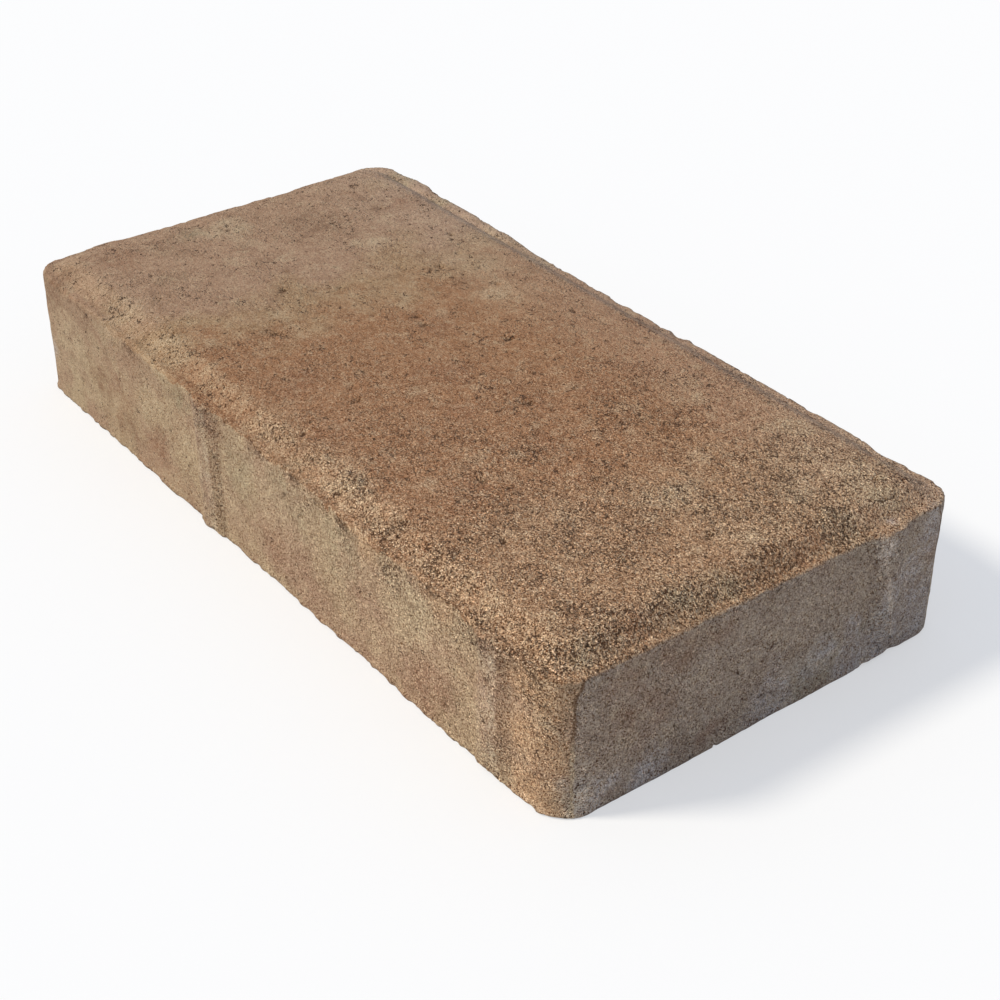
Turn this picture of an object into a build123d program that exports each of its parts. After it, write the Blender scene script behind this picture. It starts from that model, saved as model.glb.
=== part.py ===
# Concrete paving stone of the plain rectangular format, about twice as long as wide.
# It is pressed in a mould as one piece: a straight-sided slab, six spacer lugs on its sides,
# a narrow flat land round its top and a wearing face that rises from the land on a bevel.
# The origin is in the middle of the bedding face, +X runs along the length, +Z points up.

import os

from build123d import *

os.makedirs("parts", exist_ok=True)

# Slab, measured between its faces without the lugs
stone_length = 202.0
stone_width = 100.0
stone_thickness = 35.0
corner_radius = 7.0
bed_edge_round = 0.8

# Wearing face
face_rise = 3.3
land_width = 2.2
bevel_run = 5.2
face_corner_radius = 5.5
crown_radius = 9.0
land_edge_round = 0.5

# Spacer lugs
lug_from_corner = 19.0
lug_foot_width = 11.0
lug_crest_width = 5.0
lug_reach_at_bed = 1.0
lug_reach_at_land = 1.4
lug_crest_round = 1.2

# Heights and half sizes that follow from the above
land_height = stone_thickness - face_rise
half_length = stone_length / 2
half_width = stone_width / 2


# One lug on a side that faces -Y: a low rib with sloping flanks, which thins towards the bed
def lug_section(height, reach):
    with BuildSketch(Plane.XY.offset(height)) as section:
        with BuildLine():
            Polyline(
                (-lug_foot_width / 2, 0),
                (-lug_crest_width / 2, -reach),
                (lug_crest_width / 2, -reach),
                (lug_foot_width / 2, 0),
                close=True,
            )
        make_face()
        fillet(section.vertices().group_by(Axis.Y)[0], lug_crest_round)
    return section.sketch.face()


with BuildPart() as spacer_lug:
    bed_section = lug_section(0, lug_reach_at_bed)
    land_section = lug_section(land_height, lug_reach_at_land)
    loft(sections=[bed_section, land_section], ruled=True)

# Seen from outside, every lug stands near the right-hand corner of its half of the side, so that
# the lugs of two stones laid face to face miss each other
lug_on_near_end = Location((half_length, half_width - lug_from_corner, 0), (0, 0, 90))
lug_near_corner = Location((half_length - lug_from_corner, -half_width, 0))
lug_past_middle = Location((-lug_from_corner, -half_width, 0))
half_turn = Location((0, 0, 0), (0, 0, 180))
lug_places = [lug_on_near_end, lug_near_corner, lug_past_middle]
lug_places = lug_places + [half_turn * place for place in lug_places]

with BuildPart() as paving_stone:
    # Slab up to the land
    with BuildSketch():
        RectangleRounded(stone_length, stone_width, corner_radius)
    extrude(amount=land_height)

    with Locations(*lug_places):
        add(spacer_lug.part)

    fillet(paving_stone.faces().sort_by(Axis.Z)[0].edges(), bed_edge_round)
    fillet(paving_stone.faces().sort_by(Axis.Z)[-1].edges(), land_edge_round)

    # Wearing face, on its bevel
    with BuildSketch(Plane.XY.offset(land_height)):
        RectangleRounded(
            stone_length - 2 * land_width,
            stone_width - 2 * land_width,
            corner_radius - land_width,
        )
    with BuildSketch(Plane.XY.offset(stone_thickness)):
        RectangleRounded(
            stone_length - 2 * (land_width + bevel_run),
            stone_width - 2 * (land_width + bevel_run),
            face_corner_radius,
        )
    loft(ruled=True)
    fillet(paving_stone.faces().sort_by(Axis.Z)[-1].edges(), crown_radius)

paving_stone.part.label = "paving_stone"
export_step(paving_stone.part, "parts/paving_stone.step")
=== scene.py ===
# Looks of the concrete paving stone: a worn, sandy skin over the whole stone and a studio stage.
# Sizes are in metres. The stone lies on z = 0 with its length along X.

from math import cos, pi, radians, sin

import bpy
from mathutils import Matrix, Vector


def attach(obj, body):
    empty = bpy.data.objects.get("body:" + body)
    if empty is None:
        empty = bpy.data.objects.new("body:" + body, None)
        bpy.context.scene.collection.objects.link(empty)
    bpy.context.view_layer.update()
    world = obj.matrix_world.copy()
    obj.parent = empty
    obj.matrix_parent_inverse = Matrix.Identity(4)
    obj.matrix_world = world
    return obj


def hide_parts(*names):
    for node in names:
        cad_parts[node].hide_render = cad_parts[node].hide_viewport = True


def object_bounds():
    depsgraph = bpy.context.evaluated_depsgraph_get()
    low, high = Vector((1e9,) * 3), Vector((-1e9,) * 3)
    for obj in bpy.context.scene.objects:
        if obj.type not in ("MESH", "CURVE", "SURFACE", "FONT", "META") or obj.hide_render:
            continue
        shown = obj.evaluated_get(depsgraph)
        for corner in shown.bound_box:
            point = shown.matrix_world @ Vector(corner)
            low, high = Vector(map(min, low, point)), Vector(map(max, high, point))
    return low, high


bl_info = {
    "name": "Concrete Paving Stone",
    "version": (1, 0, 0),
    "blender": (4, 5, 0),
    "location": "3D View > Sidebar > Paving",
    "description": "A pressed concrete paving stone with a worn, sandy surface, and its studio stage",
    "category": "Add Mesh",
}

MM = 0.001
STONE_NODE = "paving_stone"
SKIN_NAME = "concrete_skin"

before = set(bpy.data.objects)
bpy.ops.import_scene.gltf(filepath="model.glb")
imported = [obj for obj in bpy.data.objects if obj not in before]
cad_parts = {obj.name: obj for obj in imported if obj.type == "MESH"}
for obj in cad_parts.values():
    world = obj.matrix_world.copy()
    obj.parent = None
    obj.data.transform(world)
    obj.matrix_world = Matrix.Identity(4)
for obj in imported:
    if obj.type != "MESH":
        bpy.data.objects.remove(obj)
CAD_LOW, CAD_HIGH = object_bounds()

# Sizes of the solid that the skin's regions follow
HALF_LENGTH = 101 * MM
HALF_WIDTH = 50 * MM
CORNER_RADIUS = 7 * MM

# Where the wearing face's colour starts, where an end's grey stops and where a painted highlight runs
# down the lugs' crests
FACE_BORDER = 31 * MM
SEAM_FROM_MIDDLE = 46.1 * MM
HIGHLIT_CRESTS = (-18 * MM, 83 * MM)

# Moves that make one layer's noise unlike another's
SEED_SHIFT = (0.137, 0.071, 0.053)
PIT_SHIFT = (0.2, 0.1, 0.3)
PORE_SHIFT = (0.1, 0.4, 0.2)
CRUMB_SHIFT = (0.2, 0.3, 0.1)
CRACK_SHIFT = (0.4, 0.2, 0.1)

WHITE = (1, 1, 1, 1)
FLOOR_WIDTH = 6

# What can be told apart on the stone: (x, y, z, width) in millimetres, all with ragged outlines
PALE_STONES = [
    (-62, -3, 35, 5),
    (-68, -46, 33, 4),
    (-36, -38, 35, 5),
    (-17, 26, 35, 9),
    (-37, 28, 35, 3),
    (-50, -24, 35, 4),
    (8, -14, 35, 6),
    (17, -31, 35, 3),
    (21, -22, 35, 3),
    (36, 40, 35, 3),
    (41, -13, 35, 5),
    (48, 11, 35, 4),
    (65, 38, 35, 5),
    (71, 4, 35, 7),
    (74, -6, 35, 5),
    (86, -41, 35, 5),
    (87, -7, 35, 4),
    (30, -45, 34, 6),
    (70, -47, 33, 3),
    (90, 33, 35, 5),
    (20, -50, 30, 2),
    (-4, -49, 32, 3),
]
DEEP_PITS = [
    (-31, -24, 35, 3.4),
    (2, 15, 35, 3.6),
    (-15, 4, 35, 2.8),
    (26, 1, 35, 3.6),
    (-36, 24, 35, 2.8),
    (-48, -12, 35, 3.2),
    (-41, 16, 35, 2.0),
    (-62, -37, 35, 2.4),
    (-1, -24, 35, 2.2),
    (4, -26, 35, 2.0),
    (-25, -2, 35, 2.0),
    (49, -6, 35, 2.2),
    (62, 18, 35, 3.0),
    (44, -24, 35, 3.6),
    (85, -2, 35, 2.8),
    (-19, -34, 35, 2.0),
    (8, -42, 35, 3.0),
    (63, -33, 35, 2.4),
    (75, 1, 35, 2.2),
    (-72, 31, 35, 1.8),
    (46, -44, 34, 2.6),
    (40, -50, 17, 2.0),
    (6, -50, 10, 2.4),
    (-80, -50, 9, 2.0),
]
WORN_PLACES = [
    (15, 51.5, 31, 9),
    (19, 51.5, 31, 9),
    (23, 51.5, 31, 9),
    (-56, 51, 33, 5),
    (-28, 51, 33, 6),
    (0, 51, 32, 7),
    (82, 51, 32, 16),
    (-101, 20, 32, 14),
    (-14, -50, 32, 7),
    (-3, -50, 32, 9),
    (7, -50, 32, 6),
    (17, -50, 32, 9),
    (29, -50, 32, 8),
    (38, -50, 32, 6),
    (48, -50, 32, 10),
    (58, -50, 32, 7),
    (69, -50, 32, 9),
    (-60, -50, 32, 8),
    (83, -51, 1, 14),
    (92, -50, 1, 12),
    (97, -48, 1, 14),
]
LOST_LUG_PLACES = [
    (19, 51.5, 30, 8),
    (102.5, 26, 20, 5),
    (102.5, 26.5, 15, 6),
    (102.5, 27.5, 10, 7),
    (102.5, 28.5, 5, 8),
    (102.5, 29, 1, 8),
    (102.5, 33, 1, 9),
]
SCUFFED_PLACES = [
    (-18, -51, 29, 8),
    (84, -51, 28, 9),
    (92, -50, 27, 14),
    (96, -49, 18, 14),
    (93, -50, 8, 14),
    (17, -43, 35, 10),
    (30, -42, 35, 9),
    (47, -44, 34, 9),
    (36, -50, 28, 10),
    (50, -50, 28, 12),
    (64, -50, 29, 12),
    (76, -49, 29, 12),
    (22, -50, 28, 7),
    (95, -44, 33, 14),
    (96, -25, 33, 14),
    (97, -9, 33, 12),
    (96, 5, 33, 14),
    (96, 22, 33, 16),
    (102, 26, 30, 6),
    (102, 27, 26, 5),
    (102, 28, 21, 5),
    (98, -50, 18, 8),
    (1, 17, 35, 8),
    (45, -8, 35, 14),
    (48, -30, 35, 14),
    (26, 2, 35, 9),
    (-30, -24, 35, 8),
    (80, 25, 35, 18),
    (78, -22, 35, 20),
]
PALE_BLOOMS = [
    (-10, -50, 12, 10),
    (96, -14, 33, 8),
    (96, 23, 33, 12),
    (84, 22, 35, 13),
    (-84, -5, 35, 17),
    (-75, -6, 35, 10),
    (-58, 18, 35, 12),
    (38, -22, 35, 9),
    (26, -33, 35, 8),
    (72, 3, 35, 16),
    (90, 4, 35, 8),
    (86, 36, 35, 14),
    (66, 38, 35, 12),
    (-45, -47, 33, 12),
    (30, -45, 33, 16),
    (-85, -50, 22, 22),
    (-45, -50, 19, 20),
    (-26, -50, 17, 18),
    (8, -50, 21, 28),
    (55, -50, 22, 30),
    (78, -50, 12, 9),
    (101, -48, 3, 12),
    (-40, -46, 33, 18),
]
FAINT_BLOOMS = [
    (84, 30, 35, 40),
    (86, 6, 35, 26),
    (96, -38, 33, 16),
    (-63, -46, 33, 20),
    (0, -46, 33, 22),
    (21, -46, 33, 22),
    (42, -46, 33, 16),
    (63, -22, 35, 20),
    (96, 22, 33, 18),
    (96, -20, 33, 20),
    (-10, -50, 12, 16),
    (-17, 27, 35, 20),
    (-27, 31, 35, 16),
    (-84, -6, 35, 18),
    (84, 26, 35, 26),
    (-84, 38, 34, 16),
    (42, 30, 35, 16),
    (63, 16, 35, 14),
]
# Scraped concrete and painted highlight: down the end lug's left flank, which faces the lamp, and low on
# the near corner's seam
SCRAPED_AND_HIGHLIT_PLACES = [
    (102, 28.2, 30, 4.5),
    (102, 29.6, 29, 5.0),
    (102, 28.6, 27, 4.4),
    (102, 29.2, 25, 3.6),
    (102, 29.8, 23, 3.2),
    (102, 30.4, 21, 3.0),
    (102, 31.0, 19, 2.6),
    (102, 31.5, 17, 2.4),
    (102, 32.0, 15, 2.2),
    (102, 32.4, 13, 2.2),
    (102, 32.9, 11, 2.2),
    (102, 33.3, 9, 2.2),
    (102, 33.8, 7, 2.2),
    (102, 34.3, 5, 2.2),
    (99.5, -43.5, 8, 3),
    (100.5, -43.8, 5, 4),
    (100.5, -44.0, 11, 3),
]
RED_STAINS = [
    (-70, -50, 13, 16),
    (-85, -35, 35, 18),
    (-84, 35, 35, 16),
    (-70, 38, 35, 14),
    (14, 42, 34, 10),
    (28, 27, 35, 9),
    (30, 17, 35, 14),
    (27, 4, 35, 12),
    (5, -4, 35, 18),
    (21, -12, 35, 14),
    (45, -29, 35, 17),
    (12, -37, 35, 13),
    (-10, -31, 35, 18),
    (-13, 6, 35, 14),
    (41, -6, 35, 13),
    (60, 28, 35, 12),
    (97, -28, 33, 14),
    (97, 12, 33, 12),
    (-88, -50, 29, 20),
    (-60, -50, 12, 26),
    (-42, -50, 10, 18),
    (8, -50, 10, 11),
    (60, -50, 7, 22),
    (101, -31, 18, 22),
    (101, -34, 28, 18),
    (101, -22, 28, 14),
    (101, -13, 27, 12),
    (101, -14, 4, 10),
    (101, 44, 22, 9),
]
GREEN_PATCHES = [
    (-88, 49, 32, 14),
    (-70, 49, 32, 10),
    (96, -41, 33, 10),
    (97, -9, 33, 12),
    (95, -17, 34, 9),
    (94, 34, 34, 12),
    (-88, -14, 35, 12),
    (-30, -50, 28, 10),
    (-4, -50, 22, 22),
    (14, -50, 25, 22),
    (34, -50, 24, 20),
    (58, -50, 24, 16),
    (84, -50, 8, 11),
    (101, 14, 7, 22),
    (101, 30, 10, 12),
    (101, -45, 5, 9),
]
ASH_PATCHES = [
    (101, 31, 4, 16),
    (101, 34, 14, 12),
    (101, 23, 12, 10),
    (101, -38, 5, 10),
    (101, 31, 28, 8),
    (101, -43, 4, 14),
    (101, 2, 5, 18),
    (101, 14, 9, 16),
    (101, 23, 5, 14),
    (102, 36, 6, 16),
    (101, 43, 26, 14),
    (101, 44, 12, 18),
    (101, 42, 3, 14),
    (101, 37, 20, 16),
    (101, 33, 11, 14),
    (101, 26, 3, 16),
    (101, -28, 3, 14),
    (-98, -50, 12, 10),
]
TAN_PATCHES = [
    (92, -50, 28, 16),
    (99, -48, 26, 16),
    (93, -50, 16, 16),
    (99, -48, 14, 16),
    (92, -50, 5, 16),
    (97, -49, 4, 13),
    (40, -49, 31, 14),
    (64, -49, 31, 14),
]
# Dark stains, and painted shadow: a broken row just under the near side's top edge, and beside two lugs'
# flanks
DARK_STAINS_AND_SHADOWS = [
    (-73, 12, 35, 24),
    (-83, -22, 35, 14),
    (-68, -30, 35, 12),
    (-48, -13, 35, 7),
    (-72, 31, 35, 9),
    (97, -22, 33, 12),
    (97, 2, 33, 12),
    (9, -42, 34, 7),
    (46, -43, 34, 8),
    (-17, -51, 27, 8),
    (86, -51, 28, 8),
    (35, -50, 29, 9),
    (52, -50, 28, 10),
    (66, -50, 29, 8),
    (101, -36, 20, 12),
    (-98, -50, 29, 20),
    (-90, -51, 29, 18),
    (-70, -50, 30, 16),
    (-30, -50, 30, 12),
    (-10, -50, 30, 14),
    (10, -50, 29, 10),
    (101, -25, 5, 14),
    (101, -20, 27, 10),
    (70, -50, 8, 14),
    (-70, -50, 13, 14),
]


def length(name, description, default_mm):
    return bpy.props.FloatProperty(
        name=name, description=description, default=default_mm * MM, unit="LENGTH", precision=5
    )


def share(name, description, default):
    return bpy.props.FloatProperty(
        name=name, description=description, default=default, min=0, max=1, subtype="FACTOR"
    )


def colour(name, description, default):
    return bpy.props.FloatVectorProperty(
        name=name, description=description, default=default, size=3, min=0, max=1, subtype="COLOR"
    )


class SkinShape(bpy.types.PropertyGroup):
    """Relief of the concrete skin"""

    pitch: length("Mesh Pitch", "Distance between the points of the fine mesh", 0.55)
    triangles: bpy.props.IntProperty(
        name="Triangles", description="Triangles that the finished skin keeps", default=194000
    )
    swell_height: length("Swell Height", "How far whole faces and edges wander", 0.40)
    swell_size: length("Swell Size", "Distance between the swells", 26)
    ripple_height: length("Ripple Height", "How far the edges wander between swells", 0.20)
    ripple_size: length("Ripple Size", "Distance between the ripples", 7)
    lump_height: length("Lump Height", "Height of the uneven lumps", 0.30)
    lump_size: length("Lump Size", "Distance between the lumps", 4)
    grain_height: length("Grain Height", "Height of the coarse sand grains", 0.45)
    grain_size: length("Grain Size", "Distance between coarse sand grains", 1.7)
    pore_depth: length("Pore Depth", "Depth of the pores between the grains", 0.45)
    pore_size: length("Pore Size", "Distance between the places of the pores", 2.0)
    pit_depth: length("Pit Depth", "Depth of the larger pits", 0.8)
    pit_size: length("Pit Size", "Distance between the places of the pits", 6)
    wear_depth: length("Wear Depth", "What is worn off the sharp edges", 0.4)
    chip_size: length("Chip Size", "Distance between the chips in the edges", 4)
    loss_depth: length("Loss Depth", "What is missing at the worn places", 0.45)
    lug_loss: length("Lug Loss", "What the end lug has lost near its foot", 0.9)
    raise_height: length("Raise Height", "Height of the raised far rim", 1.05)
    foot_flare: length("Foot Flare", "How far the bottom edge stands out", 0.4)
    crown_allowance: length("Crown Allowance", "Drop of face and lugs that leaves room for grains", 0.2)
    seed: bpy.props.IntProperty(name="Seed", description="Start of all random relief", default=7)


class SkinColours(bpy.types.PropertyGroup):
    """Colours of the concrete"""

    pink_tan: colour("Pink Tan", "Wearing face towards the far end", (0.350, 0.220, 0.142))
    buff: colour("Buff", "Greenish buff stretch of the wearing face", (0.335, 0.215, 0.120))
    red_brown: colour("Red Brown", "Middle of the wearing face", (0.305, 0.158, 0.080))
    orange_tan: colour("Orange Tan", "Wearing face towards the near end", (0.355, 0.212, 0.118))
    side_buff: colour("Side Buff", "Pale concrete of the sides", (0.410, 0.305, 0.192))
    side_brown: colour("Side Brown", "Brown clouds in the sides", (0.360, 0.236, 0.155))
    # Partly the ends' own greyer concrete, partly painted shade of the end that lies away from the lamp
    end_grey_and_shade: colour("End Grey And Shade", "Greyer concrete of the ends", (0.370, 0.295, 0.230))
    # Pale is also the painted highlight on the lower part of the seams
    pale: colour("Pale", "Pale stones and blooms", (0.490, 0.385, 0.250))
    # Bare scraped concrete, which also carries a painted highlight on the end lug's lit flank
    scraped: colour("Scraped", "Concrete scraped bare", (0.740, 0.620, 0.490))
    ash: colour("Ash", "Light bluish grey patches of the ends", (0.470, 0.428, 0.402))
    rust: colour("Rust", "Reddish stains", (0.230, 0.105, 0.055))
    moss_grey: colour("Moss Grey", "Greenish grey patches", (0.330, 0.285, 0.180))
    # Umber is also the colour of the painted shade on lug flanks, seams and under the face's edge
    umber: colour("Umber", "Dark grains and stains", (0.135, 0.070, 0.036))
    rim_tan: colour("Rim Tan", "Compacted rim of the land", (0.530, 0.375, 0.240))
    # Painted shade at the bottom of the pores, pits and cracks
    pore: colour("Pore", "Bottom of the pores and pits", (0.075, 0.034, 0.015))
    light_sand: colour("Light Sand", "Light sand grains", (0.600, 0.450, 0.300))
    # A painted highlight along the crests of the lugs
    crest_highlight_grey: colour("Crest Highlight Grey", "Scraped crests of the lugs", (0.480, 0.405, 0.290))
    # Rosy grey tint towards the far side of the wearing face
    rosy_grey: colour("Rosy Grey", "Dust on the far side of the wearing face", (0.480, 0.370, 0.290))
    # Lighter tan on the bevel above the near side
    near_bevel_tan: colour("Near Bevel Tan", "Dusty tan of the bevel above the near side", (0.420, 0.300, 0.190))
    corner_tan: colour("Corner Tan", "Tan concrete round the near corner", (0.484, 0.308, 0.177))
    grit: length("Grit", "Width of the finest grains", 0.16)
    fine_grain: length("Fine Grain", "Width of a fine sand grain", 0.27)
    coarse_grain: length("Coarse Grain", "Width of a coarse sand grain", 0.75)
    pore_spacing: length("Pore Spacing", "Distance between the fine pores", 0.48)
    pore_depth: length("Pore Depth", "Depth that the fine pores show", 0.32)
    crumb: length("Crumb", "Width of a crumb of concrete", 1.4)
    crumb_height: length("Crumb Height", "How far the crumbs stand out", 0.35)


class StageSetup(bpy.types.PropertyGroup):
    """Camera, lamp, sky and floor"""

    azimuth: bpy.props.FloatProperty(
        name="Azimuth", description="Heading of the camera", default=radians(52.75), subtype="ANGLE"
    )
    elevation: bpy.props.FloatProperty(
        name="Elevation", description="Camera above level", default=radians(33.44), subtype="ANGLE"
    )
    distance: length("Distance", "From the camera to the point it looks at", 389.5)
    aim: bpy.props.FloatVectorProperty(
        name="Aim",
        description="Point that the camera looks at",
        default=(31.06 * MM, -9.44 * MM, 17.5 * MM),
        size=3,
        subtype="TRANSLATION",
    )
    lens: bpy.props.FloatProperty(name="Lens", description="Focal length in mm", default=67.45)
    key_share: share("Key Share", "Light of the key lamp on a surface that faces it", 0.876)
    key_colour: colour("Key Colour", "Colour of the key lamp", (1.0, 0.93, 0.80))
    key_direction: bpy.props.FloatVectorProperty(
        name="Key Direction",
        description="Where the key lamp's light comes from",
        default=(-0.375, -0.625, 0.685),
        size=3,
        subtype="DIRECTION",
    )
    key_softness: bpy.props.FloatProperty(
        name="Key Softness",
        description="Width of the key lamp as the stone sees it",
        default=radians(12),
        subtype="ANGLE",
    )
    sky: colour("Sky", "Light from all round", (0.40, 0.45, 0.55))
    floor: colour("Floor", "Colour of the floor as it lights the stone", (0.6, 0.6, 0.6))
    floor_seen: colour("Floor Seen", "Colour of the floor as the camera sees it", (0.95, 0.95, 0.95))
    floor_glow: share("Floor Glow", "Share of plain white in the floor that the camera sees", 0.5)


# Sockets of the Mix node for each kind of value: factor, first, second and result
MIX_SOCKETS = {"FLOAT": (0, 2, 3, 0), "RGBA": (0, 6, 7, 2)}


class Graph:
    """Writes a node tree as expressions: each method adds a node and gives its output"""

    def __init__(self, tree):
        self.tree = tree

    def feed(self, socket, value):
        if isinstance(value, bpy.types.NodeSocket):
            self.tree.links.new(value, socket)
        else:
            socket.default_value = value

    def node(self, kind, inputs=None, **settings):
        node = self.tree.nodes.new(kind)
        for name, value in settings.items():
            setattr(node, name, value)
        for name, value in (inputs or {}).items():
            self.feed(node.inputs[name], value)
        return node

    def math(self, operation, *values, clamp=False):
        node = self.node("ShaderNodeMath", operation=operation, use_clamp=clamp)
        for socket, value in zip(node.inputs, values):
            self.feed(socket, value)
        return node.outputs[0]

    def vector(self, operation, *values, output="Vector"):
        node = self.node("ShaderNodeVectorMath", operation=operation)
        for index, value in enumerate(values):
            is_scale = operation == "SCALE" and index == 1
            self.feed(node.inputs["Scale" if is_scale else index], value)
        return node.outputs[output]

    def total(self, first, *others):
        for other in others:
            first = self.math("ADD", first, other)
        return first

    def product(self, first, *others):
        for other in others:
            first = self.math("MULTIPLY", first, other)
        return first

    def linear(self, value, slope, start, clamp=False):
        """The value times the slope, plus the start"""
        return self.math("MULTIPLY_ADD", value, slope, start, clamp=clamp)

    def step(self, value, low, high, to_low=0.0, to_high=1.0):
        """A smooth step from to_low at low to to_high at high"""
        inputs = {"Value": value, "From Min": low, "From Max": high, "To Min": to_low, "To Max": to_high}
        return self.node("ShaderNodeMapRange", inputs, interpolation_type="SMOOTHSTEP").outputs["Result"]

    def band(self, value, low, full_low, full_high, high):
        """1 from full_low to full_high, falling to 0 at low and at high"""
        return self.product(self.step(value, low, full_low), self.step(value, high, full_high))

    def under(self, value, limit, width):
        """0 above the limit, rising to 1 where the value is below it by the width"""
        return self.step(value, limit, self.math("SUBTRACT", limit, width))

    def noise(self, place, size, detail=2.0, roughness=0.5, output="Fac"):
        scale = self.math("DIVIDE", 1.0, size)
        inputs = {"Vector": place, "Scale": scale, "Detail": detail, "Roughness": roughness}
        return self.node("ShaderNodeTexNoise", inputs).outputs[output]

    def uneven(self, place, size, detail, roughness):
        """Noise that is 0 on average"""
        return self.math("SUBTRACT", self.noise(place, size, detail, roughness), 0.5)

    def cells(self, place, size):
        inputs = {"Vector": place, "Scale": self.math("DIVIDE", 1.0, size)}
        return self.node("ShaderNodeTexVoronoi", inputs).outputs

    def split(self, vector):
        return self.node("ShaderNodeSeparateXYZ", {"Vector": vector}).outputs

    def between(self, kind, factor, first, second):
        node = self.node("ShaderNodeMix", data_type=kind)
        *into, result = MIX_SOCKETS[kind]
        for index, value in zip(into, (factor, first, second)):
            self.feed(node.inputs[index], value)
        return node.outputs[result]

    def blend(self, factor, first, second):
        """A number that goes from the first to the second with the factor"""
        return self.between("FLOAT", factor, first, second)

    def mix(self, factor, first, second):
        """A colour that goes from the first to the second with the factor"""
        return self.between("RGBA", factor, first, second)

    def shader_mix(self, factor, first, second):
        """A surface that goes from the first shader node to the second with the factor"""
        inputs = {0: factor, 1: first.outputs[0], 2: second.outputs[0]}
        return self.node("ShaderNodeMixShader", inputs).outputs[0]


def rumpled(graph, place, size, amount, detail=3):
    """The place, moved about by up to half the amount, so that outlines go ragged"""
    wander = graph.vector("SUBTRACT", graph.noise(place, size, detail, output="Color"), (0.5, 0.5, 0.5))
    return graph.vector("ADD", place, graph.vector("SCALE", wander, amount))


def spots(graph, place, places, edge):
    """1 in the middles of a list of spots, falling to 0 at their outlines"""
    result = 0.0
    for x, y, z, width in places:
        away = graph.vector("DISTANCE", place, (x * MM, y * MM, z * MM), output="Value")
        reach = graph.math("DIVIDE", away, width / 2 * MM)
        result = graph.math("MAXIMUM", result, graph.step(reach, 1.0, edge))
    return result


def hollows(graph, place, size, limit):
    """Ragged hollows at random places: the higher the limit, the more of them"""
    return graph.under(graph.noise(place, size, 2, 0.6), limit, 0.07)


# Relief of the skin


class ReliefGraph(Graph):
    """The relief's own node tree, with its named inputs"""

    def __init__(self):
        super().__init__(bpy.data.node_groups.new("Pressed concrete relief", "GeometryNodeTree"))
        self.sockets = {}
        self.tree.interface.new_socket("Geometry", in_out="INPUT", socket_type="NodeSocketGeometry")
        self.tree.interface.new_socket("Geometry", in_out="OUTPUT", socket_type="NodeSocketGeometry")
        self.start = self.node("NodeGroupInput")
        self.position = self.node("GeometryNodeInputPosition").outputs[0]
        self.normal = self.node("GeometryNodeInputNormal").outputs[0]
        seed = self.input("Seed", "NodeSocketInt")
        self.place = self.vector("ADD", self.position, self.vector("SCALE", SEED_SHIFT, seed))

    def input(self, name, kind="NodeSocketFloat"):
        """The named input's socket, made at its first use"""
        if name not in self.sockets:
            self.sockets[name] = self.tree.interface.new_socket(name, in_out="INPUT", socket_type=kind)
        return self.start.outputs[name]

    def blur(self, value, turns):
        """Each point's vector, evened out with those of its neighbours"""
        node = self.node("GeometryNodeBlurAttribute", data_type="FLOAT_VECTOR")
        self.feed(next(s for s in node.inputs if s.enabled and s.name == "Value"), value)
        node.inputs["Iterations"].default_value = turns
        return next(s for s in node.outputs if s.enabled)

    def keep(self, geometry, name, value):
        """Stores a value at each point, for the material and for later nodes"""
        node = self.node("GeometryNodeStoreNamedAttribute", data_type="FLOAT", domain="POINT")
        node.inputs["Name"].default_value = name
        self.feed(node.inputs["Geometry"], geometry)
        self.feed(next(s for s in node.inputs if s.enabled and s.name == "Value"), value)
        return node.outputs["Geometry"]

    def kept(self, name):
        node = self.node("GeometryNodeInputNamedAttribute", data_type="FLOAT")
        node.inputs["Name"].default_value = name
        return next(s for s in node.outputs if s.enabled and s.name == "Attribute")


def outline_inset(graph):
    """How far a point lies inside the slab's outline; the lugs lie outside it"""
    level = graph.vector("MULTIPLY", graph.vector("ABSOLUTE", graph.position), (1, 1, 0))
    core = (HALF_LENGTH - CORNER_RADIUS, HALF_WIDTH - CORNER_RADIUS, 0)
    past = graph.vector("SUBTRACT", level, core)
    outer = graph.vector("LENGTH", graph.vector("MAXIMUM", past, (0, 0, 0)), output="Value")
    past_x, past_y, _ = graph.split(past)
    inner = graph.math("MINIMUM", graph.math("MAXIMUM", past_x, past_y), 0.0)
    return graph.math("SUBTRACT", CORNER_RADIUS, graph.math("ADD", outer, inner))


def lug_flanks(graph, facing):
    """The flanks of the long sides' lugs on their right-hand side, seen from outside, which get painted
    shade
    """
    y = graph.split(graph.position)[1]
    proud = graph.step(graph.math("ABSOLUTE", y), HALF_WIDTH - 0.1 * MM, HALF_WIDTH + 0.2 * MM)
    lean = graph.product(graph.math("SIGN", y), graph.split(facing)[0])
    return graph.product(proud, graph.step(lean, -0.05, -0.30))


def crest_highlight(graph):
    """A painted highlight down the crest of each lug on the near long side, where its edge catches the
    light
    """
    x, y, _ = graph.split(graph.position)
    line = 0.0
    for crest in HIGHLIT_CRESTS:
        away = graph.math("ABSOLUTE", graph.math("SUBTRACT", x, crest))
        line = graph.math("MAXIMUM", line, graph.step(away, 1.5 * MM, 0.5 * MM))
    patchy = graph.step(graph.noise(graph.place, 1.6 * MM, 3, 0.6), 0.35, 0.60, 0.3, 1.0)
    return graph.product(line, patchy, graph.step(y, -49.9 * MM, -50.6 * MM))


def far_rim(graph):
    """The land along the far long side, which the pressing left higher, most so at its far end"""
    x, y, z = graph.split(graph.position)
    along = graph.product(
        graph.step(x, -46 * MM, -32 * MM, 1.0, 0.18),
        graph.step(x, -101 * MM, -92 * MM, 0.3, 1.0),
        graph.step(x, 84 * MM, 66 * MM),
    )
    strip = graph.product(
        graph.step(outline_inset(graph), 3.1 * MM, 2.0 * MM),
        graph.step(y, 40 * MM, 46 * MM),
        graph.step(z, 20 * MM, 30 * MM),
    )
    return graph.product(along, strip)


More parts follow.
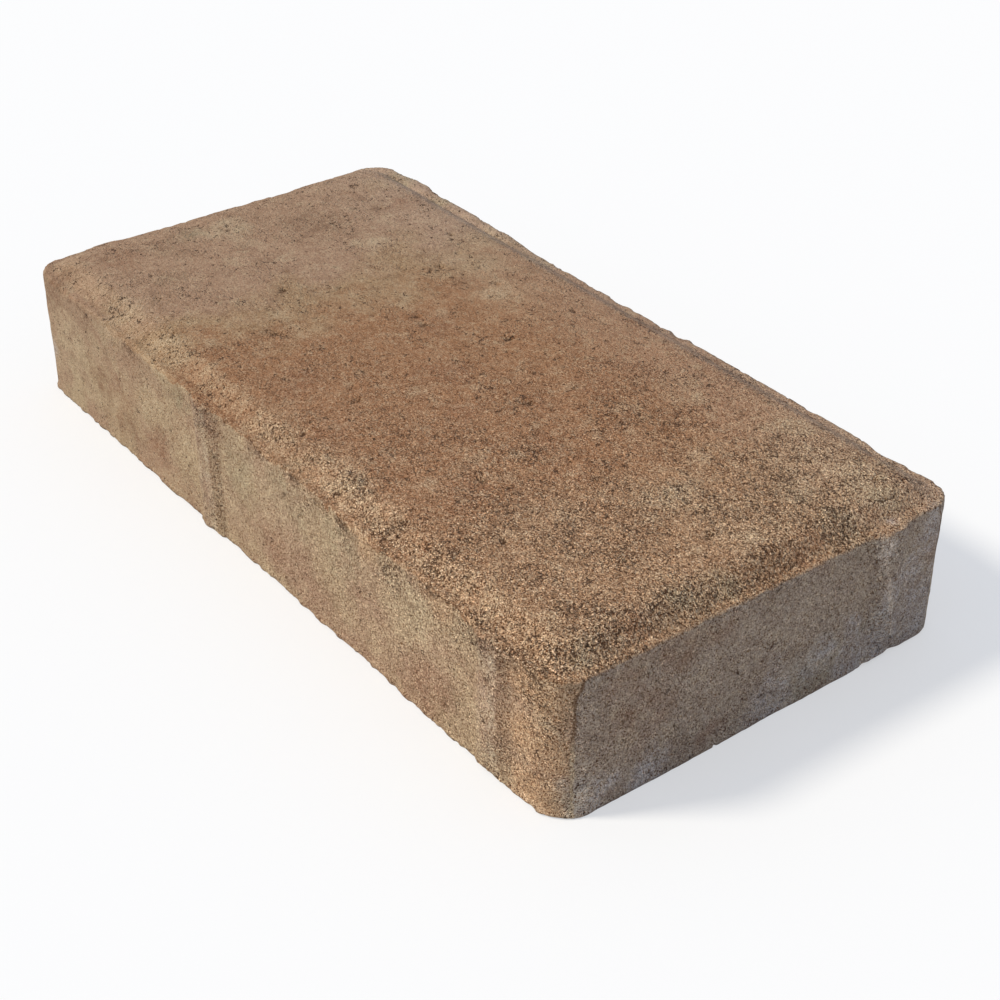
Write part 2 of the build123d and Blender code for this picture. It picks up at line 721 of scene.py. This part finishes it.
def openness(graph, up, wearing, bevel, rim, lug, shaded_flank):
    """How open the texture is: more so near the camera, on the bevel and where it is scuffed"""
    x = graph.split(graph.position)[0]
    result = graph.blend(wearing, 0.15, graph.step(x, 0.0, 95 * MM, 0.26, 0.50))
    open_bevel = graph.step(x, -60 * MM, 90 * MM, 0.36, 0.55)
    underside = graph.step(up, -0.3, -0.8)
    for mask, there in ((bevel, open_bevel), (rim, 0.25), (lug, 0.25), (shaded_flank, 0.28), (underside, 0.12)):
        result = graph.blend(mask, result, there)
    scuff = spots(graph, rumpled(graph, graph.position, 5 * MM, 7 * MM, 4), SCUFFED_PLACES, 0.2)
    result = graph.blend(graph.product(scuff, 0.5), result, 0.8)
    cluster = graph.step(graph.noise(graph.place, 10 * MM, 2), 0.36, 0.64, 0.65, 1.30)
    return graph.product(result, cluster)


def store_regions(graph, geometry):
    """Stores a mask for each region of the stone, and how open its texture is"""
    y = graph.split(graph.position)[1]
    facing = graph.blur(graph.normal, 3)
    up = graph.split(facing)[2]
    inset = outline_inset(graph)
    wearing = graph.step(up, 0.3, 0.75)
    bevel = graph.product(graph.band(inset, 1.7 * MM, 2.6 * MM, 6.5 * MM, 9 * MM), wearing)
    level_face = graph.product(wearing, graph.step(inset, 6.5 * MM, 9 * MM))
    lug = graph.step(inset, -0.2 * MM, -0.8 * MM)
    shaded_flank = lug_flanks(graph, facing)

    # An edge bulges out from the mean of the points round it
    outward = graph.vector("SUBTRACT", graph.position, graph.blur(graph.position, 24))
    bulge = graph.vector("DOT_PRODUCT", graph.normal, outward, output="Value")
    rim = graph.product(graph.step(bulge, 0.45 * MM, 0.65 * MM), wearing)
    rim = graph.product(rim, graph.step(y, -45 * MM, -41 * MM, 0.1, 1.0))

    masks = {
        "wearing": wearing,
        "near_bevel": graph.product(bevel, graph.step(y, -39 * MM, -43 * MM)),
        "crowned": graph.math("MAXIMUM", level_face, lug),
        "shaded_flank": shaded_flank,
        "crest": graph.product(lug, graph.math("SUBTRACT", 1.0, shaded_flank)),
        "crest_highlight": crest_highlight(graph),
        "arris": graph.product(graph.step(bulge, 0.15 * MM, 0.8 * MM), graph.step(up, -0.35, 0.05)),
        "foot": graph.product(graph.step(bulge, 0.15 * MM, 0.7 * MM), graph.step(up, 0.05, -0.35)),
        "rim": rim,
        "open_texture": openness(graph, up, wearing, bevel, rim, lug, shaded_flank),
    }
    for name, mask in masks.items():
        geometry = graph.keep(geometry, name, mask)
    return geometry


def store_patches(graph, geometry):
    """Stores the stones, pits, blooms and stains that can be told apart"""
    close = rumpled(graph, graph.position, 2 * MM, 4 * MM)
    exact = rumpled(graph, graph.position, 1.2 * MM, 1.6 * MM)
    broad = rumpled(graph, graph.position, 8 * MM, 12 * MM, 4)
    for name, place, places, edge in (
        ("pale", close, PALE_STONES, 0.4),
        ("pitted", close, DEEP_PITS, 0.3),
        ("scraped", exact, SCRAPED_AND_HIGHLIT_PLACES, 0.4),
        ("bloom", broad, PALE_BLOOMS, 0.25),
        ("faint", broad, FAINT_BLOOMS, 0.25),
        ("red", broad, RED_STAINS, 0.25),
        ("green", broad, GREEN_PATCHES, 0.25),
        ("ash", broad, ASH_PATCHES, 0.25),
        ("tan", broad, TAN_PATCHES, 0.25),
        ("dark", broad, DARK_STAINS_AND_SHADOWS, 0.25),
    ):
        geometry = graph.keep(geometry, name, spots(graph, place, places, edge))
    return geometry


def wandering(graph):
    """How far swells and ripples move whole faces and edges"""
    swell = rumpled(graph, graph.place, graph.input("Swell Size"), graph.input("Swell Height"), 1)
    ripple = rumpled(graph, graph.place, graph.input("Ripple Size"), graph.input("Ripple Height"), 2)
    both = graph.vector("ADD", swell, ripple)
    wander = graph.vector("SUBTRACT", both, graph.vector("SCALE", graph.place, 2.0))
    return graph.vector("MULTIPLY", wander, (2.0, 2.0, 0.6))


def lumps_and_grains(graph, open_texture):
    """Lumps and sand grains, which stand out more where the texture is open"""
    lump = graph.uneven(graph.place, graph.input("Lump Size"), 3, 0.6)
    grain = graph.uneven(graph.place, graph.input("Grain Size"), 2, 0.6)
    lump_height = graph.product(lump, graph.input("Lump Height"))
    grain_height = graph.product(grain, graph.input("Grain Height"))
    return graph.product(graph.total(lump_height, grain_height), graph.linear(open_texture, 1.0, 0.28))


def pores_and_pits(graph, open_texture):
    """1 in the middles of the pores, and the same for the larger pits"""
    pore_limit = graph.linear(open_texture, 0.10, 0.285)
    pore = hollows(graph, graph.place, graph.input("Pore Size"), pore_limit)
    pit_limit = graph.linear(open_texture, 0.07, 0.25)
    pit_place = graph.vector("ADD", graph.place, PIT_SHIFT)
    pit = hollows(graph, pit_place, graph.input("Pit Size"), pit_limit)
    return pore, graph.math("MAXIMUM", pit, graph.product(graph.kept("pitted"), 0.7))


def losses(graph):
    """What wear takes off the sharp edges, what else is lost, and the drop of the crowned places"""
    chip = graph.noise(graph.place, graph.input("Chip Size"), 3, 0.6)
    chip = graph.step(chip, 0.50, 0.66, 0.05, 1.0)
    worn = graph.product(graph.kept("arris"), chip, graph.input("Wear Depth"))
    lost = spots(graph, rumpled(graph, graph.position, 8 * MM, 8 * MM), WORN_PLACES, 0.2)
    lost = graph.product(lost, graph.input("Loss Depth"))
    lug_loss = spots(graph, rumpled(graph, graph.position, 3 * MM, 2 * MM), LOST_LUG_PLACES, 0.5)
    lost = graph.linear(lug_loss, graph.input("Lug Loss"), lost)
    drop = graph.product(graph.kept("crowned"), graph.input("Crown Allowance"))
    return worn, lost, drop


def foot_flare(graph):
    """How far the bottom edge stands out: raggedly, but evenly on part of the +X end"""
    x, y, _ = graph.split(graph.position)
    ragged = graph.step(graph.noise(graph.place, 2.8 * MM, 2), 0.40, 0.64, 0.35, 1.3)
    even = graph.step(y, 30 * MM, 38 * MM, 1.0, 0.0)
    amount = graph.blend(graph.step(x, 95 * MM, 98 * MM), ragged, even)
    return graph.product(graph.kept("foot"), amount, graph.input("Foot Flare"))


def build_relief():
    """The relief's tree: masks of the stone's regions, then what each does to its surface"""
    graph = ReliefGraph()
    geometry = store_regions(graph, graph.start.outputs["Geometry"])
    geometry = store_patches(graph, geometry)
    open_texture = graph.kept("open_texture")
    pore, pit = pores_and_pits(graph, open_texture)
    geometry = graph.keep(geometry, "hollow", graph.math("MAXIMUM", pore, pit))

    pore_depth = graph.product(pore, graph.input("Pore Depth"))
    pit_depth = graph.product(pit, graph.input("Pit Depth"))
    relief = graph.total(lumps_and_grains(graph, open_texture), foot_flare(graph))
    for loss in (pore_depth, pit_depth, *losses(graph)):
        relief = graph.math("SUBTRACT", relief, loss)
    geometry = graph.keep(geometry, "relief", relief)

    # Everything moves at once and stays inside the stone's box
    raised = graph.product(far_rim(graph), graph.input("Raise Height"))
    wander = graph.vector("ADD", wandering(graph), graph.vector("SCALE", (0, 0.5, 1), raised))
    move = graph.vector("ADD", wander, graph.vector("SCALE", graph.normal, graph.kept("relief")))
    moved = graph.vector("ADD", graph.position, move)
    moved = graph.vector("MAXIMUM", moved, graph.input("Lowest Corner", "NodeSocketVector"))
    moved = graph.vector("MINIMUM", moved, graph.input("Highest Corner", "NodeSocketVector"))
    geometry = graph.node("GeometryNodeSetPosition", {"Geometry": geometry, "Position": moved}).outputs[0]
    geometry = graph.node("GeometryNodeRealizeInstances", {"Geometry": geometry}).outputs[0]
    inputs = {"Geometry": geometry, "Material": graph.input("Material", "NodeSocketMaterial")}
    geometry = graph.node("GeometryNodeSetMaterial", inputs).outputs[0]
    graph.node("NodeGroupOutput", {"Geometry": geometry})
    return graph


def blank_from_cad():
    """A joined copy of the stone's solid, to be covered with a fine even mesh"""
    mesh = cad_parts[STONE_NODE].data.copy()
    mesh.name = SKIN_NAME
    mesh.materials.clear()
    blank = bpy.data.objects.new(SKIN_NAME, mesh)
    bpy.context.scene.collection.objects.link(blank)
    weld = blank.modifiers.new("Weld", "WELD")
    weld.merge_threshold = 0.01 * MM
    return blank


def plain_mesh(piece):
    """Turns what the modifiers make into the piece's own mesh and takes them off"""
    shown = piece.evaluated_get(bpy.context.evaluated_depsgraph_get())
    mesh = bpy.data.meshes.new_from_object(shown)
    piece.modifiers.clear()
    piece.data = mesh
    mesh.name = piece.name


class PAVING_OT_add_skin(bpy.types.Operator):
    """Adds the stone's surface: a fine mesh over the solid, with relief, pits and worn edges"""

    bl_idname = "paving.add_skin"
    bl_label = "Add Concrete Skin"

    def execute(self, context):
        shape = context.scene.skin_shape
        skin = blank_from_cad()
        cover = skin.modifiers.new("Even mesh", "REMESH")
        cover.mode = "VOXEL"
        cover.voxel_size = shape.pitch
        cover.use_smooth_shade = True

        graph = build_relief()
        relief = skin.modifiers.new("Relief", "NODES")
        relief.node_group = graph.tree
        values = {
            name.replace("_", " ").title(): getattr(shape, name) for name in SkinShape.__annotations__
        }
        values["Lowest Corner"] = CAD_LOW
        values["Highest Corner"] = CAD_HIGH
        values["Material"] = concrete(context.scene.skin_colours)
        for name, socket in graph.sockets.items():
            relief[socket.identifier] = values[name]
        plain_mesh(skin)

        skin.data.calc_loop_triangles()
        fewer = skin.modifiers.new("Fewer triangles", "DECIMATE")
        fewer.ratio = min(1.0, shape.triangles / len(skin.data.loop_triangles))
        plain_mesh(skin)
        skin.data.shade_smooth()
        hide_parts(STONE_NODE)
        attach(skin, "root")
        return {"FINISHED"}


# Material of the skin


def rgba(value):
    return (*value, 1.0)


def empty_tree(owner):
    """The node tree of a material or a world, with nothing in it"""
    owner.use_nodes = True
    owner.node_tree.nodes.clear()
    return owner.node_tree


def sand_group():
    """Sand grains of one size: a random tint for each grain"""
    tree = bpy.data.node_groups.new("Sand grains", "ShaderNodeTree")
    tree.interface.new_socket("Place", in_out="INPUT", socket_type="NodeSocketVector")
    tree.interface.new_socket("Grain", in_out="INPUT", socket_type="NodeSocketFloat")
    tree.interface.new_socket("Tint", in_out="OUTPUT", socket_type="NodeSocketFloat")
    graph = Graph(tree)
    start = graph.node("NodeGroupInput").outputs
    bent = rumpled(graph, start["Place"], start["Grain"], start["Grain"], 2)
    cell = graph.cells(bent, start["Grain"])
    graph.node("NodeGroupOutput", {"Tint": graph.split(cell["Color"])[0]})
    return tree


class ConcreteGraph(Graph):
    """The concrete's node tree, with the values that several parts of it use"""

    def __init__(self, tree, colours):
        super().__init__(tree)
        self.colours = colours
        self.sand = sand_group()
        self.place = self.node("ShaderNodeTexCoord").outputs["Object"]
        self.open_texture = self.stored("open_texture")
        self.powder = self.uneven(self.place, 0.55 * MM, 2, 0.7)
        towards_camera = self.vector("DOT_PRODUCT", self.place, (0.8, -0.6, 0.0), output="Value")
        self.near = self.step(towards_camera, -50 * MM, 95 * MM, 0.10, 1.0)

    def stored(self, name):
        """What the relief has stored at each point"""
        return self.node("ShaderNodeAttribute", attribute_name=name).outputs["Fac"]

    def shifted(self, shift):
        return self.vector("ADD", self.place, shift)

    def tint(self, base, colour, mask, strength=1.0):
        """The base, turned towards a colour by the mask times the strength"""
        return self.mix(self.product(mask, strength), base, rgba(colour))

    def grains(self, size):
        """A random tint for each grain of the given size"""
        inputs = {"Place": self.place, "Grain": size}
        return self.node("ShaderNodeGroup", inputs, node_tree=self.sand).outputs["Tint"]


def regions(graph):
    """Masks of the wearing face, the ends, the seams beside them and the lip below the face"""
    ragged = graph.product(graph.uneven(graph.place, 2.5 * MM, 3, 0.6), 1.6 * MM)
    x, y, z = graph.split(graph.vector("ABSOLUTE", graph.place))
    wavy = graph.uneven(graph.place, 7 * MM, 4, 0.6)
    wavy = graph.product(wavy, graph.step(x, 100 * MM, 98 * MM), 9 * MM)
    edge = graph.total(z, ragged, wavy)
    above = graph.step(edge, FACE_BORDER, FACE_BORDER + 0.5 * MM)
    wearing = graph.math("MAXIMUM", above, graph.step(graph.stored("wearing"), 0.7, 0.95))
    # The lip: a ragged band just under the face's edge on the long sides, later given painted shadow from
    # that edge
    lip = graph.product(
        graph.band(edge, 28.5 * MM, 30.5 * MM, 31.3 * MM, 32.3 * MM),
        graph.step(y, 48.5 * MM, 49.6 * MM),
        graph.step(graph.noise(graph.place, 9 * MM, 3, 0.6), 0.46, 0.60),
    )

    # The grey of an end stops just before or just past a seam, by the sign of the corner
    signed_x, signed_y, _ = graph.split(graph.place)
    corner_sign = graph.product(graph.math("SIGN", signed_x), graph.math("SIGN", signed_y))
    turned = graph.total(y, ragged, graph.step(z, 27 * MM, 31 * MM, 0.0, 1.6 * MM))
    past_seam = graph.math("SUBTRACT", turned, SEAM_FROM_MIDDLE)
    on_end = graph.step(x, 95 * MM, 97 * MM)
    end = graph.step(graph.linear(corner_sign, -1.2 * MM, past_seam), 1.3 * MM, 0.7 * MM)
    seam = graph.step(graph.math("ABSOLUTE", past_seam), 0.5 * MM, 0.2 * MM)
    seam = graph.product(seam, on_end, graph.math("SUBTRACT", 1.0, wearing))
    return wearing, graph.product(end, on_end), seam, lip


def length_colours(graph, along):
    """The wearing face's colour along its length, from 0 at the far end to 1 at the near end"""
    colours = graph.colours
    stops = [
        (0.00, colours.pink_tan),
        (0.22, colours.pink_tan),
        (0.31, colours.buff),
        (0.38, colours.red_brown),
        (0.72, colours.red_brown),
        (0.84, colours.orange_tan),
    ]
    node = graph.node("ShaderNodeValToRGB", {"Fac": along})
    elements = node.color_ramp.elements
    while len(elements) < len(stops):
        elements.new(0.5)
    for element, (position, colour_there) in zip(elements, stops):
        element.position = position
        element.color = rgba(colour_there)
    return node.outputs["Color"]


def face_colour(graph):
    """The wearing face follows the stone's length and turns rosy grey towards its far side"""
    x, y, _ = graph.split(graph.place)
    bend = graph.noise(graph.place, 22 * MM, 3, 0.6)
    along = graph.total(graph.linear(x, 0.5 / HALF_LENGTH, 0.5), graph.linear(bend, 0.4, -0.2))
    rosy = graph.total(
        graph.step(y, 15 * MM, 42 * MM, 0.0, 0.20),
        graph.step(y, 42 * MM, 44 * MM, 0.0, 0.22),
    )
    return graph.tint(length_colours(graph, along), graph.colours.rosy_grey, rosy)


def side_colour(graph, end):
    """Clouded buff and brown sides, tan round the near corner, greyer ends (partly painted shade) and a
    little darker towards the top
    """
    colours = graph.colours
    cloud = graph.step(graph.noise(graph.place, 18 * MM, 3, 0.6), 0.38, 0.62)
    side = graph.mix(cloud, rgba(colours.side_buff), rgba(colours.side_brown))
    side = graph.tint(side, colours.corner_tan, graph.stored("tan"), 0.85)
    # greyer, cooler ends: partly their own concrete, partly painted shade
    side = graph.tint(side, colours.end_grey_and_shade, end, 0.9)
    upright = graph.vector("MULTIPLY", graph.place, (1.0, 1.0, 0.1))
    streak = graph.linear(graph.noise(upright, 2 * MM, 3, 0.6), 0.24, 0.88)
    side = graph.vector("SCALE", side, streak)
    height = graph.split(graph.place)[2]
    return graph.vector("SCALE", side, graph.step(height, 22 * MM, 29 * MM, 0.96, 0.89))


def stained(graph, base):
    """Adds the stains and blooms that can be told apart, painted shade and highlights on the lugs and
    under the near side's top edge, then clouds of three sizes
    """
    colours = graph.colours
    ragged = graph.step(graph.noise(graph.place, 3.5 * MM, 3, 0.6), 0.35, 0.65, 0.35, 1.0)
    for name, tone, strength in (
        # lighter tan on the bevel above the near side
        ("near_bevel", colours.near_bevel_tan, 0.45),
        # dark stains, and painted shadow under the near side's top edge
        ("dark", colours.umber, 0.35),
        # painted shade on the lugs' right-hand flanks
        ("shaded_flank", colours.umber, 0.34),
        ("red", colours.rust, 0.45),
        ("green", colours.moss_grey, 0.55),
        ("ash", colours.ash, 0.85),
        ("bloom", colours.pale, 0.50),
        ("faint", colours.pale, 0.30),
        ("crest", colours.ash, 0.12),
        # painted highlight down the crests of the near side's lugs
        ("crest_highlight", colours.crest_highlight_grey, 0.65),
        # scraped concrete, partly a painted highlight on the end lug's lit flank
        ("scraped", colours.scraped, 0.80),
    ):
        base = graph.tint(base, tone, graph.product(graph.stored(name), ragged), strength)

    for shift, size, strength in ((0.3, 6 * MM, 0.40), (0.5, 2.5 * MM, 0.38), (0.7, 1.1 * MM, 0.42)):
        cloud = graph.noise(graph.shifted((shift, 0.1, 0.2)), size, 3, 0.65)
        base = graph.mix(graph.step(cloud, 0.50, 0.80, 0.0, strength), base, rgba(colours.pale))
        base = graph.mix(graph.step(cloud, 0.50, 0.20, 0.0, strength), base, rgba(colours.umber))
    return base


def marked(graph, base, wearing, seam, lip):
    """Adds the rim's own colour, painted shadow and highlight at the seams, painted shadow under the
    face's edge at the lip, and the pale stones
    """
    colours = graph.colours
    rim = graph.product(graph.stored("rim"), wearing)
    base = graph.tint(base, colours.rim_tan, rim, 0.45)
    # A painted shadow line above and a painted highlight below, of a small ridge along each seam
    upper = graph.step(graph.split(graph.place)[2], 14 * MM, 20 * MM)
    seam_shadow_and_highlight = graph.mix(upper, rgba(colours.pale), rgba(colours.umber))
    base = graph.mix(graph.product(seam, 0.7), base, seam_shadow_and_highlight)
    # painted shadow under the face's edge, at the lip
    base = graph.tint(base, colours.umber, lip, 0.4)
    powdery = graph.step(graph.powder, -0.15, 0.15, 0.1, 0.5)
    return graph.mix(graph.product(graph.stored("pale"), powdery), base, rgba(colours.pale))


def sanded(graph, base):
    """Adds light and dark grains of two sizes, more of them where the texture is open"""
    colours = graph.colours
    amount = graph.linear(graph.open_texture, 0.9, 0.45, clamp=True)
    amount = graph.product(amount, graph.linear(graph.near, 0.65, 0.35))
    coarse = graph.grains(colours.coarse_grain)
    fine = graph.grains(colours.fine_grain)
    for grain, first, last, tone, strength in (
        (coarse, 0.80, 1.00, colours.light_sand, 0.30),
        (coarse, 0.24, 0.00, colours.umber, 0.25),
        (fine, 0.84, 0.93, colours.light_sand, 0.75),
        (fine, 0.17, 0.07, colours.umber, 0.90),
    ):
        mask = graph.product(graph.step(grain, first, last, 0.0, strength), amount)
        base = graph.mix(mask, base, rgba(tone))
    return base


def shaded(graph, base, end):
    """Lightens and darkens each grain of grit and powder, with redder darks"""
    speck = graph.grains(graph.colours.grit)
    dark_grit = graph.step(speck, 0.0, 0.32, -0.85, 0.0)
    grit = graph.total(dark_grit, graph.step(speck, 0.80, 1.0, 0.0, 0.45))
    grit_contrast = graph.product(
        graph.linear(graph.open_texture, 2.2, 2.2),
        graph.linear(end, -0.25, 1.0),
        graph.near,
    )
    powder_contrast = graph.product(
        graph.linear(graph.open_texture, 1.5, 0.9),
        graph.linear(graph.near, 0.4, 0.6),
    )
    shade = graph.total(
        graph.linear(graph.near, 0.16, 1.05),
        graph.product(grit, grit_contrast),
        graph.product(graph.powder, powder_contrast),
    )
    base = graph.vector("SCALE", base, graph.math("MAXIMUM", shade, 1.0))
    dark = graph.math("MINIMUM", graph.math("MAXIMUM", shade, 0.12), 1.0)
    channels = {"X": graph.math("POWER", dark, 0.60), "Y": dark, "Z": graph.math("POWER", dark, 1.60)}
    return graph.vector("MULTIPLY", base, graph.node("ShaderNodeCombineXYZ", channels).outputs[0])


def crumbs(graph):
    """Domes of the crumbs, and the cracks round some of them where the texture is open"""
    crumb = graph.uneven(graph.shifted(CRUMB_SHIFT), graph.colours.crumb, 2, 0.6)
    from_crack = graph.math("ABSOLUTE", crumb)
    crack_limit = graph.linear(graph.open_texture, 0.22, 0.35)
    cracked = hollows(graph, graph.shifted(CRACK_SHIFT), 2.0 * MM, crack_limit)
    crack = graph.product(cracked, graph.step(from_crack, 0.035, 0.012))
    return graph.step(from_crack, 0.0, 0.12), crack


def fine_pores(graph):
    """Fine pores between the grains"""
    limit = graph.total(
        0.312,
        graph.product(graph.open_texture, 0.09),
        graph.product(graph.near, 0.045),
        graph.product(graph.stored("pitted"), 0.13),
    )
    pore = graph.noise(graph.shifted(PORE_SHIFT), graph.colours.pore_spacing, 2, 0.65)
    return graph.under(pore, limit, 0.03)


def shade_in_hollows(graph, pore, crack):
    """Painted shade: how dark the pores, the cracks, the mesh's hollows and the gaps in the powder are"""
    hollow = graph.math("ADD", graph.stored("hollow"), graph.powder)
    hollow = graph.step(hollow, 0.45, 0.85, 0.0, 0.75)
    hollow_shade = graph.math("MAXIMUM", graph.product(pore, 0.95), hollow)
    gap_limit = graph.total(
        -0.30,
        graph.product(graph.near, 0.10),
        graph.product(graph.open_texture, 0.10),
    )
    gap = graph.under(graph.powder, gap_limit, 0.08)
    return graph.math("MAXIMUM", hollow_shade, graph.product(graph.math("MAXIMUM", crack, gap), 0.9))


def fine_bump(graph, pore, crack, dome):
    """Powder, crumbs, pores and cracks stand in the shading too"""
    depth = graph.colours.pore_depth
    height = graph.total(
        graph.product(graph.powder, graph.linear(graph.open_texture, 0.48 * MM, 0.12 * MM)),
        graph.product(dome, graph.open_texture, graph.colours.crumb_height),
    )
    for hole in (pore, crack):
        height = graph.math("SUBTRACT", height, graph.product(hole, depth))
    return graph.node("ShaderNodeBump", {"Height": height, "Strength": 1.0, "Distance": 1.0}).outputs[0]


def concrete(colours):
    """Through-coloured concrete: clouds of pigment, sand of three sizes, crumbs and dark pores"""
    material = bpy.data.materials.new("mottled_concrete")
    graph = ConcreteGraph(empty_tree(material), colours)
    wearing, end, seam, lip = regions(graph)
    graph.open_texture = graph.math("MAXIMUM", graph.open_texture, graph.product(lip, 0.6))

    base = graph.mix(wearing, side_colour(graph, end), face_colour(graph))
    base = stained(graph, base)
    base = marked(graph, base, wearing, seam, lip)
    base = sanded(graph, base)
    base = shaded(graph, base, end)
    dome, crack = crumbs(graph)
    pore = fine_pores(graph)
    inputs = {
        # painted shade in pores, cracks and hollows
        "Base Color": graph.mix(shade_in_hollows(graph, pore, crack), base, rgba(colours.pore)),
        "Normal": fine_bump(graph, pore, crack, dome),
        "Roughness": 0.92,
        "Specular IOR Level": 0.25,
    }
    shader = graph.node("ShaderNodeBsdfPrincipled", inputs)
    graph.node("ShaderNodeOutputMaterial", {"Surface": shader.outputs[0]})
    return material


# Stage


def floor_material(setup):
    """A pale floor that the camera sees as almost white, with the stone's shadow on it"""
    material = bpy.data.materials.new("studio_floor")
    graph = Graph(empty_tree(material))
    seen = graph.node("ShaderNodeLightPath").outputs["Is Camera Ray"]
    inputs = {
        "Base Color": graph.mix(seen, rgba(setup.floor), rgba(setup.floor_seen)),
        "Roughness": 0.9,
        "Specular IOR Level": 0.0,
    }
    shader = graph.node("ShaderNodeBsdfPrincipled", inputs)
    glow = graph.node("ShaderNodeEmission", {"Color": WHITE, "Strength": 1.0})
    share_seen = graph.product(seen, setup.floor_glow)
    graph.node("ShaderNodeOutputMaterial", {"Surface": graph.shader_mix(share_seen, shader, glow)})
    return material


def white_world(sky):
    """Even light from all round; the camera sees plain white"""
    world = bpy.data.worlds.new("studio")
    bpy.context.scene.world = world
    graph = Graph(empty_tree(world))
    light = graph.node("ShaderNodeBackground", {"Color": rgba(sky), "Strength": 1.0})
    white = graph.node("ShaderNodeBackground", {"Color": WHITE, "Strength": 1.0})
    seen = graph.node("ShaderNodeLightPath").outputs["Is Camera Ray"]
    graph.node("ShaderNodeOutputWorld", {"Surface": graph.shader_mix(seen, light, white)})


class PAVING_OT_add_stage(bpy.types.Operator):
    """Adds the floor, the sky, the lamp and the camera at the photograph's angle"""

    bl_idname = "paving.add_stage"
    bl_label = "Add Studio Stage"

    def execute(self, context):
        setup = context.scene.stage_setup
        bpy.ops.mesh.primitive_plane_add(size=FLOOR_WIDTH)
        floor = context.object
        floor.name = "studio_floor"
        floor.data.materials.append(floor_material(setup))
        white_world(setup.sky)

        key = bpy.data.lights.new("key", "SUN")
        key.energy = setup.key_share * pi
        key.color = setup.key_colour
        key.angle = setup.key_softness
        lamp = bpy.data.objects.new("key", key)
        lamp.rotation_euler = Vector(setup.key_direction).to_track_quat("Z", "Y").to_euler()
        context.scene.collection.objects.link(lamp)

        camera = bpy.data.objects.new("camera", bpy.data.cameras.new("camera"))
        camera.data.lens = setup.lens
        level = cos(setup.elevation)
        back = Vector((sin(setup.azimuth) * level, -cos(setup.azimuth) * level, sin(setup.elevation)))
        camera.location = Vector(setup.aim) + back * setup.distance
        camera.rotation_euler = back.to_track_quat("Z", "Y").to_euler()
        context.scene.collection.objects.link(camera)
        context.scene.camera = camera
        context.scene.view_settings.view_transform = "Standard"
        return {"FINISHED"}


class PAVING_PT_sidebar(bpy.types.Panel):
    """Lists the stone's and the stage's settings"""

    bl_label = "Concrete Paving Stone"
    bl_space_type = "VIEW_3D"
    bl_region_type = "UI"
    bl_category = "Paving"

    def draw(self, context):
        for group, operator in (
            (context.scene.skin_shape, None),
            (context.scene.skin_colours, PAVING_OT_add_skin),
            (context.scene.stage_setup, PAVING_OT_add_stage),
        ):
            box = self.layout.box()
            for name in group.__annotations__:
                box.prop(group, name)
            if operator:
                box.operator(operator.bl_idname)


GROUPS = {"skin_shape": SkinShape, "skin_colours": SkinColours, "stage_setup": StageSetup}
CLASSES = (*GROUPS.values(), PAVING_OT_add_skin, PAVING_OT_add_stage, PAVING_PT_sidebar)


def register():
    for item in CLASSES:
        bpy.utils.register_class(item)
    for name, group in GROUPS.items():
        setattr(bpy.types.Scene, name, bpy.props.PointerProperty(type=group))


def unregister():
    for name in GROUPS:
        delattr(bpy.types.Scene, name)
    for item in reversed(CLASSES):
        bpy.utils.unregister_class(item)


def main():
    register()
    bpy.ops.paving.add_skin()
    bpy.ops.paving.add_stage()


if __name__ == "__main__":
    main()
